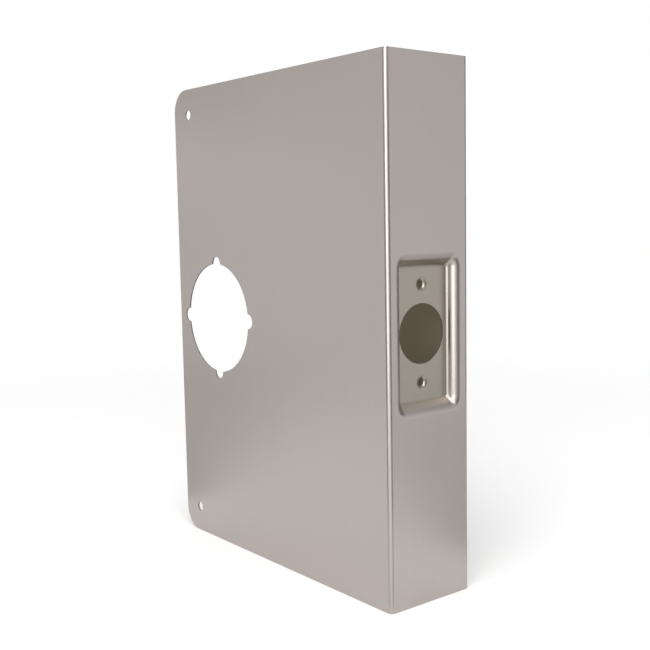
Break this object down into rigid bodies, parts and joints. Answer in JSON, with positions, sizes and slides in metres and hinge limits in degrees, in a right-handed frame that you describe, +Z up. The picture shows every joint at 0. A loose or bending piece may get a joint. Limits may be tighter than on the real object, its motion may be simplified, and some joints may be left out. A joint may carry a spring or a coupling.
{
  "type": "door wrap plate",
  "caption": "U-shaped folded sheet steel wrap for a door's edge, with a notched lock bore through both faces and a drawn latch pocket in the edge.",
  "frame": {"origin": "centre of the lock bore, in the middle of the door's thickness", "axes": "+X towards the door's edge with the latch pocket, +Y through the door's thickness along the lock bore, +Z up"},
  "size_m": [0.1625, 0.046, 0.2286],
  "materials": {
    "satin_steel": "satin stainless steel with a fine upright grain"
  },
  "bodies": {
    "root": {"wrap_plate": "satin_steel"}
  },
  "joints": []
}
